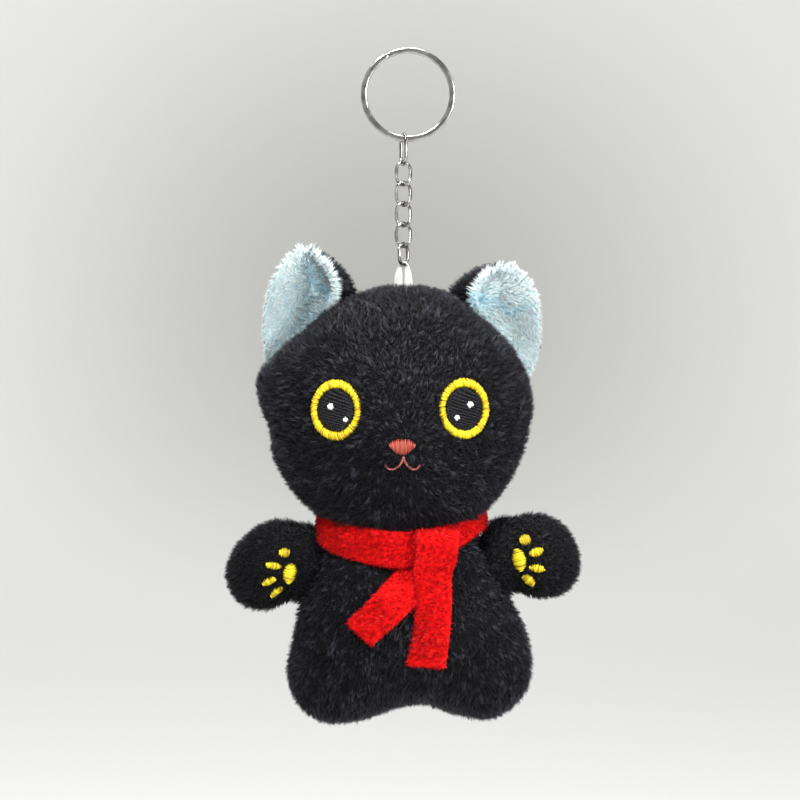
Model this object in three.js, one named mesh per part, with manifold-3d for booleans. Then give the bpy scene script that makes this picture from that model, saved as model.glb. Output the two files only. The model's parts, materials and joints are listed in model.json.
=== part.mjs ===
// A stuffed plush cat on a key ring: split ring, short curb chain, ribbon loop, sewn
// head, body, arms and ears over fibre stuffing, embroidered face and paws, and a scarf.
// Millimetres, +Z up, face towards -Y. The origin is the point at the top of the inside
// of the split ring, where the ring hangs. Left and right are as seen from the front.

import * as THREE from 'three';
import { mergeVertices } from 'three/addons/utils/BufferGeometryUtils.js';
import Module from 'manifold-3d';

const wasm = await Module();
wasm.setup();

// ---- Driving dimensions ----

const GAP = 0.3;                    // clearance between pieces that touch

// Split ring: flat wire, coiled twice
const RING_OUTER_RADIUS = 15.2;
const RING_WIRE_WIDTH = 1.8;        // across the ring
const RING_WIRE_THICKNESS = 0.98;   // along the ring's axis, one coil
const RING_WIRE_BEVEL = 0.25;
const RING_COIL_SPACING = 1.04;
const RING_JOG_ANGLE = 105;         // where the wire crosses from one coil to the other, degrees
const RING_JOG_HALF = 12;
const RING_STEPS = 52;
const RING_CENTRE_Z = RING_WIRE_WIDTH - RING_OUTER_RADIUS;

// Chain: a connecting link on the ring, four twisted curb links and a jump ring
const CHAIN_X = -1.5;
const LINK_CLEARANCE = 0.12;
const CONNECTING_LINK = { length: 10.9, width: 7, wire: 1, turn: 105, twist: 0 };
const CURB_LINK = { length: 8.6, width: 5.7, wire: 0.95, turn: 0, twist: 45 };
const JUMP_RING = { length: 8, width: 6.5, wire: 1, turn: 60, twist: 0 };
const CURB_LINKS = 4;
const CONNECTING_LINK_RISE = 0.27;  // above the ring's inner face, so that it clears the wire's corners

// Sewn parts. Outlines are (x, z) points of the pile tips, and the fabric lies inside them.
const PILE = 1.2;
const FABRIC = 1.5;
const FULLNESS = 0.84;              // 1 makes an ellipse in section, less makes a flatter front
const OUTLINE_SAMPLES = 16;         // points along each span of an outline
const FAR = 400;                    // beyond every part, for blocks that cut the rest away

const HEAD = {
  centre: [-4.2, -112.5],
  halfDepth: 26.5,
  outline: [[-2.6, -74.8], [13.5, -77.7], [27, -88.3], [35.3, -98.5], [39.5, -110.7], [37.2, -124.2],
    [32.1, -137.1], [19.9, -148.3], [-1, -154.1], [-21.8, -149.9], [-38.8, -137.1], [-44.9, -124.2],
    [-47.5, -111.4], [-46.2, -101.8], [-34.7, -90.8], [-20.2, -79.3]],
};
const BODY = {
  centre: [0.3, -183],
  halfDepth: 21,
  outline: [[0, -157], [12, -155.4], [21, -151], [24, -157.5], [27.6, -164.5], [33.2, -176.5],
    [38.2, -188.4], [39.2, -198.7], [36.6, -206.7], [27, -213.1], [16.7, -211.2], [6.4, -208.3],
    [-10.6, -211.2], [-25.7, -215.1], [-36.6, -207], [-38.5, -197.4], [-36.6, -188.4],
    [-34.8, -177], [-31.3, -164.5], [-27.6, -157.5], [-24, -151], [-12, -155.6]],
};
const ARM_HALF_DEPTH = 11.5;
const ARM_WEDGE = 11;               // the arm thins towards its seam over this length
const ARM_LEFT = {
  centre: [-45.5, -165],
  halfDepth: ARM_HALF_DEPTH,
  seam: [[-29.9, -150.9], [-35.3, -176.9]],
  outline: [[-42.7, -150.2], [-50.1, -153.4], [-55.9, -160.2], [-58.4, -166.6], [-57.1, -172.4],
    [-53, -177.2], [-46.9, -178.8], [-40.4, -176.9], [-35.8, -174.5], [-33.3, -163], [-31.8, -153.2],
    [-36, -150.4]],
};
const ARM_RIGHT = {
  centre: [43, -162],
  halfDepth: ARM_HALF_DEPTH,
  seam: [[25.7, -149.3], [33.4, -174.3]],
  outline: [[41.7, -148], [48.8, -151.2], [53.3, -157.3], [54.9, -163.7], [53.3, -169.5],
    [49.4, -173.7], [44, -175.3], [37.6, -174.9], [33.6, -172.5], [30, -162], [27.6, -152.6],
    [33.5, -149.3]],
};
const EAR_LAYER = 2;                // thickness of each of an ear's two layers, pile included
const EAR_CUP = 4;                  // how far forward an ear's rims curl
const EAR_SET_BACK = 1.5;           // how far behind the seam an ear's middle stands
const EAR_HALF_WIDTH = 15;
const EAR_LEFT = {
  centre: [-33.5, -80.5],
  outline: [[-16.2, -76], [-19.5, -67.5], [-25.5, -62], [-33, -60], [-40, -66], [-45, -75],
    [-47.5, -86], [-46.8, -98.6], [-41.5, -96.6], [-33.5, -89.6], [-24.5, -81.4]],
};
const EAR_RIGHT = {
  centre: [32, -84],
  outline: [[12, -76.4], [16.5, -70.5], [23, -66.8], [30.5, -66.2], [37.5, -71], [42, -79.5],
    [43.4, -89], [41.2, -101.6], [36.4, -96.8], [29, -88], [20.5, -80.6]],
};

// Ribbon loop: flat over the jump ring, then two legs that go into the head's top seam
const LOOP_CROWN_RADIUS = 1.9;
const LOOP_LEG_SPREAD = 1.95;
const LOOP_LEG_TOP_Z = -75;
const LOOP_LEG_END_Z = -79;
const LOOP_CROWN_SECTION = [1, 1.1];  // in the loop's plane, across it
const LOOP_LEG_SECTION = [2.2, 0.9];
const LOOP_SLOT = [8.2, 2];           // opening in the head's seam: width, depth
const LOOP_SLOT_BOTTOM_Z = -80;

// Embroidery
const THREAD = 0.7;                 // how thick satin stitching stands
const EYES = { left: [-22.6, -114.5], right: [17.4, -114.1] };
const EYE_OUTER = [7.9, 9.6];
const EYE_INNER = [5.7, 6.6];
const HIGHLIGHTS = {
  left: { large: [-1.5, 1.1, 1.1], small: [3.1, -3, 0.8] },
  right: { large: [1.8, 1.2, 1.1], small: [-2.3, -2.9, 0.9] },
};
const NOSE = { at: [-1.95, -126.1], width: 8.4, height: 5.2 };
const MOUTH_THREAD = 0.9;
const MOUTH_TOP = [-1.6, -129.2];
const MOUTH_CORNERS = { left: [-7.4, -131.8], right: [3.7, -131.6] };
const MOUTH_LOW_Z = -132.9;
// Toes are [x, z, length, width, tilt in degrees], from the top one round to the bottom one
const PAWS = {
  left: {
    toes: [[-39.4, -159.9, 3.7, 3.5, 0], [-42.8, -163.9, 5, 2.6, -8], [-44.1, -168.8, 4.7, 2.7, 25],
      [-42, -172.2, 4.6, 2.3, 40]],
    pad: [-37.6, -166.4, 4.4, 6.8, -12],
  },
  right: {
    toes: [[37.2, -155.8, 3.7, 3.7, 0], [40.6, -159.6, 4.6, 3.1, 20], [40.8, -164.7, 4.8, 2.9, -8],
      [38.3, -168.5, 4.6, 3.2, -40]],
    pad: [35.2, -162.1, 4.2, 7.2, 14],
  },
};

// Scarf: a strip of plush ribbon round the neck, its fold in front and its two tails
const SCARF_WIDTH = 12.1;
const SCARF_THICKNESS = 1.5;
const BAND = { centreX: -2.3, radiusX: 26.6, radiusY: 21, sideZ: -151, frontZ: -160, backZ: -154.5 };
const BAND_SIDE_HEIGHT = 9;         // the band leans at the sides of the neck, so it stands lower there
const KNOT = { centre: [9.2, -158.6], width: 13.4, height: 10.4, thickness: 2 };
const TAIL_FRONT_Y = -22.3;         // back face of the knot and the front tail
const FRONT_TAIL = { top: [7.75, -164.3], bottom: [5, -194.9] };
const SIDE_TAIL = { innerTop: [-4.9, -165.5], innerLow: [-0.8, -177.5], outerLow: [-10.7, -189.1],
  outerTop: [-19.7, -181.4] };

// ---- Materials ----

function finish(color, roughness, metalness = 0) {
  return new THREE.MeshStandardMaterial({ color, roughness, metalness });
}

const STEEL = finish(0x9ea2a1, 0.25, 1);
const BLACK_PLUSH = finish(0x222026, 0.95);
const BLUE_PLUSH = finish(0xbcdbe2, 0.95);
const RED_PLUSH = finish(0xd01418, 0.9);
const FIBRE = finish(0xf0efe9, 1);
const SATIN = finish(0xe8e8e3, 0.45);
const YELLOW_THREAD = finish(0xf4ee35, 0.5);
const BLACK_THREAD = finish(0x1c1b22, 0.5);
const WHITE_THREAD = finish(0xf2f2f0, 0.5);
const CORAL_THREAD = finish(0xd0705f, 0.5);
const PINK_THREAD = finish(0xdf9a8c, 0.5);

const cat = new THREE.Group();

function add(name, geometry, material) {
  const mesh = new THREE.Mesh(geometry, material);
  mesh.name = name;
  cat.add(mesh);
}

// ---- Shape helpers ----

// Moves every vertex of a geometry by a function that changes the given vector.
function reshape(geometry, place) {
  const position = geometry.attributes.position;
  const point = new THREE.Vector3();
  for (let i = 0; i < position.count; i += 1) {
    point.fromBufferAttribute(position, i);
    place(point);
    position.setXYZ(i, point.x, point.y, point.z);
  }
  return geometry;
}

function solid(geometry) {
  const bare = geometry.clone();
  bare.deleteAttribute('normal');
  bare.deleteAttribute('uv');
  const merged = mergeVertices(bare, 1e-4);
  return new wasm.Manifold(new wasm.Mesh({
    numProp: 3,
    vertProperties: merged.attributes.position.array,
    triVerts: new Uint32Array(merged.index.array),
  }));
}

function geometryOf(manifold) {
  const mesh = manifold.getMesh();
  const geometry = new THREE.BufferGeometry();
  geometry.setAttribute('position', new THREE.BufferAttribute(new Float32Array(mesh.vertProperties), 3));
  geometry.setIndex(new THREE.BufferAttribute(new Uint32Array(mesh.triVerts), 1));
  return geometry;
}

// A box between two corners, as a solid to cut with.
function block(low, high) {
  const box = new THREE.BoxGeometry(high[0] - low[0], high[1] - low[1], high[2] - low[2]);
  box.translate((low[0] + high[0]) / 2, (low[1] + high[1]) / 2, (low[2] + high[2]) / 2);
  return solid(box);
}

// The radius of a closed (x, z) outline about its centre, as a function of the angle.
function radialOutline(centre, outline) {
  const knots = outline.map(([x, z]) => new THREE.Vector3(x - centre[0], 0, z - centre[1]));
  const curve = new THREE.CatmullRomCurve3(knots, true, 'centripetal');
  const points = curve.getPoints(outline.length * OUTLINE_SAMPLES);
  const samples = points.map((p) => [Math.atan2(p.z, p.x), Math.hypot(p.x, p.z)]);
  samples.sort((a, b) => a[0] - b[0]);
  const first = samples[0];
  const last = samples[samples.length - 1];
  samples.push([first[0] + 2 * Math.PI, first[1]]);
  samples.unshift([last[0] - 2 * Math.PI, last[1]]);
  return (angle) => {
    const next = samples.findIndex((sample) => sample[0] > angle);
    const [a0, r0] = samples[next - 1];
    const [a1, r1] = samples[next];
    return r0 + (r1 - r0) * (angle - a0) / Math.max(a1 - a0, 1e-9);
  };
}

// A stuffed cushion: two panels that bulge forwards and back from a shared outline.
function cushion({ centre, outline, halfDepth, taper = () => 1 }) {
  const radius = radialOutline(centre, outline);
  return {
    // The cushion's solid, inset from its fabric's outer face.
    solid(inset, around, across) {
      return solid(reshape(new THREE.SphereGeometry(1, around, across), (p) => {
        const angle = Math.atan2(p.z, p.x);
        const reach = (radius(angle) - PILE - inset) * Math.hypot(p.x, p.z);
        const x = centre[0] + reach * Math.cos(angle);
        const z = centre[1] + reach * Math.sin(angle);
        const bulge = (halfDepth - inset) * Math.abs(p.y) ** FULLNESS * taper(x, z);
        p.set(x, Math.sign(p.y) * bulge, z);
      }));
    },
    // How far the fabric's outer face stands from the seam's plane at (x, z).
    depthAt(x, z) {
      const angle = Math.atan2(z - centre[1], x - centre[0]);
      const rho = Math.min(1, Math.hypot(x - centre[0], z - centre[1]) / (radius(angle) - PILE));
      return halfDepth * (1 - rho * rho) ** (FULLNESS / 2) * taper(x, z);
    },
  };
}

// Adds a cushion as a front panel, a back panel and the stuffing inside them.
function sewnPart(name, shape, { around, across, cut = null }) {
  const panels = shape.solid(0, around, across).subtract(shape.solid(FABRIC, around, across));
  const open = cut ? panels.subtract(cut) : panels;
  const front = open.intersect(block([-FAR, -FAR, -FAR], [FAR, -GAP / 2, FAR]));
  const back = open.intersect(block([-FAR, GAP / 2, -FAR], [FAR, FAR, FAR]));
  const filling = shape.solid(FABRIC + GAP, around, across);
  add(`${name}_front`, geometryOf(front), BLACK_PLUSH);
  add(`${name}_back`, geometryOf(back), BLACK_PLUSH);
  add(`${name}_stuffing`, geometryOf(cut ? filling.subtract(cut) : filling), FIBRE);
}

// Lays a geometry drawn with x right, y up and z outwards on the front of a cushion.
function stitchOn(geometry, shape, [x, z], tilt = 0, layer = 0) {
  const cos = Math.cos(THREE.MathUtils.degToRad(tilt));
  const sin = Math.sin(THREE.MathUtils.degToRad(tilt));
  const standOff = GAP + layer * (THREAD + GAP);
  return reshape(geometry, (p) => {
    const px = x + p.x * cos - p.y * sin;
    const pz = z + p.x * sin + p.y * cos;
    p.set(px, -shape.depthAt(px, pz) - standOff - p.z, pz);
  });
}

// An oval pad of satin stitching, standing from z = 0 to z = THREAD.
function ovalPad(width, height, sides) {
  const pad = new THREE.CylinderGeometry(0.5, 0.5, THREAD, sides);
  return pad.rotateX(Math.PI / 2).scale(width, height, 1).translate(0, 0, THREAD / 2);
}

// ---- Metalwork ----

class DoubleCoil extends THREE.Curve {
  getPoint(t, target = new THREE.Vector3()) {
    const start = RING_JOG_ANGLE + RING_JOG_HALF;
    const sweep = 720 - 2 * RING_JOG_HALF;
    const turned = t * sweep;
    const jog = THREE.MathUtils.smoothstep(turned, 360 - 2 * RING_JOG_HALF, 360);
    const angle = THREE.MathUtils.degToRad(start + turned);
    const radius = RING_OUTER_RADIUS - RING_WIRE_WIDTH / 2;
    return target.set(radius * Math.cos(angle), (jog - 0.5) * RING_COIL_SPACING,
      RING_CENTRE_Z + radius * Math.sin(angle));
  }
}

function flatWire(thickness, width) {
  const a = thickness / 2;
  const b = width / 2;
  const inA = a - RING_WIRE_BEVEL;
  const inB = b - RING_WIRE_BEVEL;
  const corners = [[a, -inB], [a, inB], [inA, b], [-inA, b], [-a, inB], [-a, -inB], [-inA, -b], [inA, -b]];
  return new THREE.Shape(corners.map(([x, y]) => new THREE.Vector2(x, y)));
}

add('split_ring', new THREE.ExtrudeGeometry(flatWire(RING_WIRE_THICKNESS, RING_WIRE_WIDTH),
  { steps: RING_STEPS, extrudePath: new DoubleCoil() }), STEEL);

// A closed link of round wire that hangs down from its top wire's centre. Twist turns its
// two ends opposite ways about its length, as in a curb chain.
function link({ length, width, wire, turn, twist }, topZ, sides = 6, steps = 24) {
  const bend = (width - wire) / 2;
  const straight = (length - width) / 2;
  const halfLength = (length - wire) / 2;
  return reshape(new THREE.TorusGeometry(1, wire / 2, sides, steps), (p) => {
    const around = Math.atan2(p.y, p.x);
    const outwards = bend + Math.hypot(p.x, p.y) - 1;
    const side = Math.abs(Math.sin(around)) < 1e-6 ? 0 : Math.sign(Math.sin(around));
    const across = outwards * Math.cos(around);
    const along = outwards * Math.sin(around) + side * straight;
    const angle = THREE.MathUtils.degToRad(turn + twist * along / halfLength);
    p.set(CHAIN_X + across * Math.cos(angle) + p.z * Math.sin(angle),
      across * Math.sin(angle) - p.z * Math.cos(angle), topZ - halfLength + along);
  });
}

// Where the next link's top wire sits, given the link above it.
function nextTop(above, topZ, below) {
  return topZ - (above.length - above.wire) + (above.wire + below.wire) / 2 + LINK_CLEARANCE;
}

const links = [CONNECTING_LINK, ...Array(CURB_LINKS).fill(CURB_LINK), JUMP_RING];
let linkTop = RING_CENTRE_Z - RING_OUTER_RADIUS + RING_WIRE_WIDTH + CONNECTING_LINK_RISE
  + CONNECTING_LINK.wire / 2;
links.forEach((shape, index) => {
  if (index > 0) {
    linkTop = nextTop(links[index - 1], linkTop, shape);
  }
  add(`chain_link_${index + 1}`, link(shape, linkTop), STEEL);
});
const jumpRingWireZ = linkTop - (JUMP_RING.length - JUMP_RING.wire);

// ---- Ribbon loop ----

// The loop's centre line: a half circle over the jump ring's wire, and a leg down each side.
function loopPath() {
  const crownZ = jumpRingWireZ + JUMP_RING.wire / 2 + LINK_CLEARANCE + LOOP_CROWN_SECTION[0] / 2;
  const centreZ = crownZ - LOOP_CROWN_RADIUS;
  const arc = [180, 150, 120, 90, 60, 30, 0].map((degrees) => {
    const angle = THREE.MathUtils.degToRad(degrees);
    return new THREE.Vector3(CHAIN_X + LOOP_CROWN_RADIUS * Math.cos(angle), 0,
      centreZ + LOOP_CROWN_RADIUS * Math.sin(angle));
  });
  const leg = (side) => [LOOP_LEG_TOP_Z, LOOP_LEG_END_Z].map(
    (z) => new THREE.Vector3(CHAIN_X + side * LOOP_LEG_SPREAD, 0, z),
  );
  return new THREE.CatmullRomCurve3([...leg(-1).reverse(), ...arc, ...leg(1)]);
}

function hangLoop() {
  const path = loopPath();
  return reshape(new THREE.BoxGeometry(1, 1, 1, 1, 1, 28), (p) => {
    const t = THREE.MathUtils.clamp(p.z + 0.5, 0, 1);
    const centre = path.getPointAt(t);
    const tangent = path.getTangentAt(t);
    const crown = 1 - THREE.MathUtils.smoothstep(Math.abs(t - 0.5), 0.12, 0.3);
    const inPlane = THREE.MathUtils.lerp(LOOP_LEG_SECTION[0], LOOP_CROWN_SECTION[0], crown);
    const across = THREE.MathUtils.lerp(LOOP_LEG_SECTION[1], LOOP_CROWN_SECTION[1], crown);
    p.set(centre.x + p.x * inPlane * tangent.z, p.y * across, centre.z - p.x * inPlane * tangent.x);
  });
}

add('hang_loop', hangLoop(), SATIN);

// ---- Head, body and arms ----

const loopSlot = block(
  [CHAIN_X - LOOP_SLOT[0] / 2, -LOOP_SLOT[1] / 2, LOOP_SLOT_BOTTOM_Z],
  [CHAIN_X + LOOP_SLOT[0] / 2, LOOP_SLOT[1] / 2, 0],
);
const head = cushion(HEAD);
sewnPart('head', head, { around: 28, across: 14, cut: loopSlot });
const body = cushion(BODY);
sewnPart('body', body, { around: 30, across: 14 });

// An arm thins to its seam, so that it can fold there.
function arm(shape) {
  const [[topX, topZ], [lowX, lowZ]] = shape.seam;
  const taper = (x, z) => {
    const seamX = topX + (lowX - topX) * (z - topZ) / (lowZ - topZ);
    return 1 - Math.max(0, 1 - Math.abs(x - seamX) / ARM_WEDGE) ** 2;
  };
  return cushion({ ...shape, taper });
}

const arms = { left: arm(ARM_LEFT), right: arm(ARM_RIGHT) };
for (const [side, shape] of Object.entries(arms)) {
  sewnPart(`arm_${side}`, shape, { around: 18, across: 8 });
}

// ---- Ears ----

// One layer of an ear: flat towards the other layer, domed away from it, then cupped.
function earLayer({ centre, outline }, facing) {
  const radius = radialOutline(centre, outline);
  return reshape(new THREE.SphereGeometry(1, 16, 6), (p) => {
    const angle = Math.atan2(p.z, p.x);
    const reach = (radius(angle) - PILE) * Math.hypot(p.x, p.z);
    const x = centre[0] + reach * Math.cos(angle);
    const dome = Math.max(0, p.y * facing) ** FULLNESS * EAR_LAYER;
    const cup = EAR_SET_BACK - EAR_CUP * ((x - centre[0]) / EAR_HALF_WIDTH) ** 2;
    p.set(x, facing * (GAP + dome) + cup, centre[1] + reach * Math.sin(angle));
  });
}

for (const [side, shape] of Object.entries({ left: EAR_LEFT, right: EAR_RIGHT })) {
  add(`ear_${side}_inner`, earLayer(shape, -1), BLUE_PLUSH);
  add(`ear_${side}_outer`, earLayer(shape, 1), BLACK_PLUSH);
}

// ---- Face ----

// An oval ring of stitching between the eye's inner and outer edges.
function eyeRing(sides) {
  const profile = [[0, 0], [1, 0], [1, THREAD], [0, THREAD], [0, 0]];
  const ring = new THREE.LatheGeometry(profile.map(([x, y]) => new THREE.Vector2(x + 1, y)), sides);
  return reshape(ring.rotateX(Math.PI / 2), (p) => {
    const angle = Math.atan2(p.y, p.x);
    const rim = Math.hypot(p.x, p.y) - 1;
    const width = THREE.MathUtils.lerp(EYE_INNER[0], EYE_OUTER[0], rim);
    const height = THREE.MathUtils.lerp(EYE_INNER[1], EYE_OUTER[1], rim);
    p.set(width * Math.cos(angle), height * Math.sin(angle), p.z);
  });
}

for (const [side, at] of Object.entries(EYES)) {
  add(`eye_${side}_ring`, stitchOn(eyeRing(20), head, at), YELLOW_THREAD);
  const pupil = ovalPad(2 * (EYE_INNER[0] - GAP), 2 * (EYE_INNER[1] - GAP), 16);
  add(`eye_${side}_pupil`, stitchOn(pupil, head, at), BLACK_THREAD);
  for (const [size, [dx, dz, radius]] of Object.entries(HIGHLIGHTS[side])) {
    const spot = ovalPad(2 * radius, 2 * radius, 8);
    add(`eye_${side}_highlight_${size}`, stitchOn(spot, head, [at[0] + dx, at[1] + dz], 0, 1), WHITE_THREAD);
  }
}

// The nose is a triangle with a round top and a round tip below.
function nose() {
  const w = NOSE.width / 2;
  const h = NOSE.height / 2;
  const shape = new THREE.Shape();
  shape.moveTo(-w, h * 0.35);
  shape.quadraticCurveTo(-w * 0.7, h * 1.1, 0, h);
  shape.quadraticCurveTo(w * 0.7, h * 1.1, w, h * 0.35);
  shape.quadraticCurveTo(w * 0.6, -h * 0.8, 0, -h);
  shape.quadraticCurveTo(-w * 0.6, -h * 0.8, -w, h * 0.35);
  return new THREE.ExtrudeGeometry(shape, { depth: THREAD, bevelEnabled: false, curveSegments: 4 });
}

add('nose', stitchOn(nose(), head, NOSE.at), CORAL_THREAD);

// The mouth is a short stem and two upturned curves, one on each side.
function mouth() {
  const branches = Object.values(MOUTH_CORNERS).map(([x, z]) => {
    const points = [MOUTH_TOP, [(MOUTH_TOP[0] * 2 + x) / 3, MOUTH_LOW_Z + 0.8],
      [(MOUTH_TOP[0] + x * 2) / 3, MOUTH_LOW_Z], [x, z]];
    const path = new THREE.CatmullRomCurve3(points.map(([px, pz]) => (
      new THREE.Vector3(px, -head.depthAt(px, pz) - GAP - MOUTH_THREAD / 2, pz))));
    const section = new THREE.Shape().absarc(0, 0, MOUTH_THREAD / 2, 0, 2 * Math.PI);
    return solid(new THREE.ExtrudeGeometry(section, { steps: 10, curveSegments: 3, extrudePath: path }));
  });
  return geometryOf(branches[0].add(branches[1]));
}

add('mouth', mouth(), PINK_THREAD);

// ---- Paws ----

for (const [side, { toes, pad }] of Object.entries(PAWS)) {
  toes.forEach(([x, z, length, width, tilt], index) => {
    const toe = stitchOn(ovalPad(length, width, 8), arms[side], [x, z], tilt);
    add(`paw_${side}_toe_${index + 1}`, toe, YELLOW_THREAD);
  });
  const [x, z, width, height, tilt] = pad;
  add(`paw_${side}_pad`, stitchOn(ovalPad(width, height, 12), arms[side], [x, z], tilt), YELLOW_THREAD);
}

// ---- Scarf ----

// The neck band: an upright strip round the neck, lower in front than at the sides.
function neckBand() {
  const profile = [[0, -0.5], [1, -0.5], [1, 0.5], [0, 0.5], [0, -0.5]];
  const strip = new THREE.LatheGeometry(profile.map(([x, y]) => new THREE.Vector2(x + 1, y)), 32);
  return reshape(strip.rotateX(Math.PI / 2), (p) => {
    const angle = Math.atan2(p.y, p.x);
    const layer = (Math.hypot(p.x, p.y) - 1.5) * SCARF_THICKNESS;
    const frontness = Math.sin(angle) ** 2;
    const endZ = Math.sin(angle) < 0 ? BAND.frontZ : BAND.backZ;
    const height = THREE.MathUtils.lerp(BAND_SIDE_HEIGHT, SCARF_WIDTH, frontness);
    p.set(BAND.centreX + (BAND.radiusX + layer) * Math.cos(angle), (BAND.radiusY + layer) * Math.sin(angle),
      THREE.MathUtils.lerp(BAND.sideZ, endZ, frontness) + p.z * height);
  });
}

add('scarf_neck_band', neckBand(), RED_PLUSH);

const knot = new THREE.BoxGeometry(KNOT.width, KNOT.thickness, KNOT.height);
knot.translate(KNOT.centre[0], TAIL_FRONT_Y - KNOT.thickness / 2, KNOT.centre[1]);
add('scarf_knot', knot, RED_PLUSH);

function frontTail() {
  return reshape(new THREE.BoxGeometry(SCARF_WIDTH, SCARF_THICKNESS, 1, 2, 1, 8), (p) => {
    const down = 0.5 - p.z;
    p.x += THREE.MathUtils.lerp(FRONT_TAIL.top[0], FRONT_TAIL.bottom[0], down);
    p.y += TAIL_FRONT_Y - SCARF_THICKNESS / 2 + 0.4 * Math.cos(Math.PI * down);
    p.z = THREE.MathUtils.lerp(FRONT_TAIL.top[1], FRONT_TAIL.bottom[1], down);
  });
}

add('scarf_front_tail', frontTail(), RED_PLUSH);

// The side tail lies on the belly, and slants away from the front tail.
function sideTail() {
  const { innerTop, innerLow, outerLow, outerTop } = SIDE_TAIL;
  const strip = new THREE.BoxGeometry(1, 1, SCARF_THICKNESS, 7, 4, 1).translate(0, 0, SCARF_THICKNESS / 2);
  reshape(strip, (p) => {
    const out = 0.5 - p.x;
    const down = 0.5 - p.y;
    const inner = [0, 1].map((i) => THREE.MathUtils.lerp(innerTop[i], innerLow[i], down));
    const outer = [0, 1].map((i) => THREE.MathUtils.lerp(outerTop[i], outerLow[i], down));
    p.x = THREE.MathUtils.lerp(inner[0], outer[0], out);
    p.y = THREE.MathUtils.lerp(inner[1], outer[1], out);
  });
  return stitchOn(strip, body, [0, 0]);
}

add('scarf_side_tail', sideTail(), RED_PLUSH);

export default cat;
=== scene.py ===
"""A stuffed plush cat on a key ring: the looks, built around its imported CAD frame.

Points and sizes below are in millimetres, as (x, y, z) in the row frame, and become metres
when a mesh is made. Left and right are as seen from the front.
"""

import json
import math

import bmesh
import bpy
import numpy as np
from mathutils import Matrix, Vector
from mathutils.bvhtree import BVHTree
from mathutils.kdtree import KDTree


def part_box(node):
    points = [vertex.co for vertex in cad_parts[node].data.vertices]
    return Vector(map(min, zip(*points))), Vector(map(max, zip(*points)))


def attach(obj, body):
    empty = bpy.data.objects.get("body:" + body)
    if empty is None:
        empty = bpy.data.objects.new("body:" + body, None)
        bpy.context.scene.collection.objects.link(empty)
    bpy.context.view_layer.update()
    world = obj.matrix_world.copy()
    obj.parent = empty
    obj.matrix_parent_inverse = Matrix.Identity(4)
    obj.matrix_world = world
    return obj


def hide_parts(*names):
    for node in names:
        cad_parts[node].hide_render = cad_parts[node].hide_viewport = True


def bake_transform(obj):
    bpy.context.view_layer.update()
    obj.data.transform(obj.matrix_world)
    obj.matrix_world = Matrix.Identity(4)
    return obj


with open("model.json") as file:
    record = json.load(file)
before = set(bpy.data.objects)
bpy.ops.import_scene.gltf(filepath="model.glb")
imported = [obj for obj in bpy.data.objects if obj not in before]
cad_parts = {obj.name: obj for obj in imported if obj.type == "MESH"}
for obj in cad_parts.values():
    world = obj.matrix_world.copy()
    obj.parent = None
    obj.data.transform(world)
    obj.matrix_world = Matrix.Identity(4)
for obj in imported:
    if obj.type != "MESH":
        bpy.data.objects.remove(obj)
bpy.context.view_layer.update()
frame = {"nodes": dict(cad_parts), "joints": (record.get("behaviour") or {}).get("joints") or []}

MM = 0.001
SCENE = bpy.context.scene

# Fabric covers; a cover stands off its stuffing by FABRIC_STAND before smoothing draws it in
VOXEL = 2.3
FABRIC_STAND = 2.5
SEAM_HALF = 1.3
SEAM_GROOVE = 0.45
FABRIC_RELIEF = 0.22

# Camera
CAMERA_DISTANCE = 900
CAMERA_AIM = (-2.6, 0, -111.4)
VIEW_WIDTH = 256.8
SENSOR = 36

# ---- meshes

def link_object(name, data):
    obj = bpy.data.objects.new(name, data)
    SCENE.collection.objects.link(obj)
    return obj


def new_piece(name, vertices, faces):
    """A smooth-shaded object from vertices in millimetres."""
    mesh = bpy.data.meshes.new(name)
    mesh.from_pydata((np.asarray(vertices) * MM).tolist(), [], [list(map(int, f)) for f in faces])
    mesh.polygons.foreach_set("use_smooth", [True] * len(mesh.polygons))
    mesh.update()
    return link_object(name, mesh)


def grid_faces(rows, columns, closed):
    """The faces over rows of points; closed joins the last column to the first."""
    faces = []
    for start in range(0, (rows - 1) * columns, columns):
        for j in range(columns if closed else columns - 1):
            a, b = start + j, start + (j + 1) % columns
            faces.append((a, b, b + columns, a + columns))
    return faces


def grid_piece(name, grid, closed=False, flipped=False):
    """A sheet over rows of points, or a sleeve if it is closed."""
    grid = np.asarray(grid)
    faces = grid_faces(*grid.shape[:2], closed)
    return new_piece(name, grid.reshape(-1, 3), [(f[0], *f[:0:-1]) for f in faces] if flipped else faces)


def vertex_vectors(obj, key):
    flat = np.empty(len(obj.data.vertices) * 3, np.float32)
    obj.data.vertices.foreach_get(key, flat)
    return flat.reshape(-1, 3)


def coordinates(obj):
    """The object's vertices, in millimetres."""
    return vertex_vectors(obj, "co").astype(float) / MM


def set_coordinates(obj, points):
    obj.data.vertices.foreach_set("co", (points * MM).astype(np.float32).ravel())
    obj.data.update()


def triangles_of(obj):
    """The corners of the object's faces, cut into triangles, as vertex numbers."""
    obj.data.calc_loop_triangles()
    flat = np.empty(len(obj.data.loop_triangles) * 3, np.int32)
    obj.data.loop_triangles.foreach_get("vertices", flat)
    return flat.reshape(-1, 3)


def normals_of(obj):
    return vertex_vectors(obj, "normal").astype(float)


def unit(vectors):
    return vectors / np.maximum(np.linalg.norm(vectors, axis=-1, keepdims=True), 1e-9)


def push_out(obj, distance):
    """Moves each vertex along its normal, by one distance or by one each."""
    distances = np.broadcast_to(distance, len(obj.data.vertices))
    set_coordinates(obj, coordinates(obj) + normals_of(obj) * distances[:, None])


def apply_modifiers(obj):
    graph = bpy.context.evaluated_depsgraph_get()
    mesh = bpy.data.meshes.new_from_object(obj.evaluated_get(graph))
    old = obj.data
    obj.modifiers.clear()
    obj.data = mesh
    bpy.data.meshes.remove(old)
    obj.data.polygons.foreach_set("use_smooth", [True] * len(obj.data.polygons))
    return obj


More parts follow.
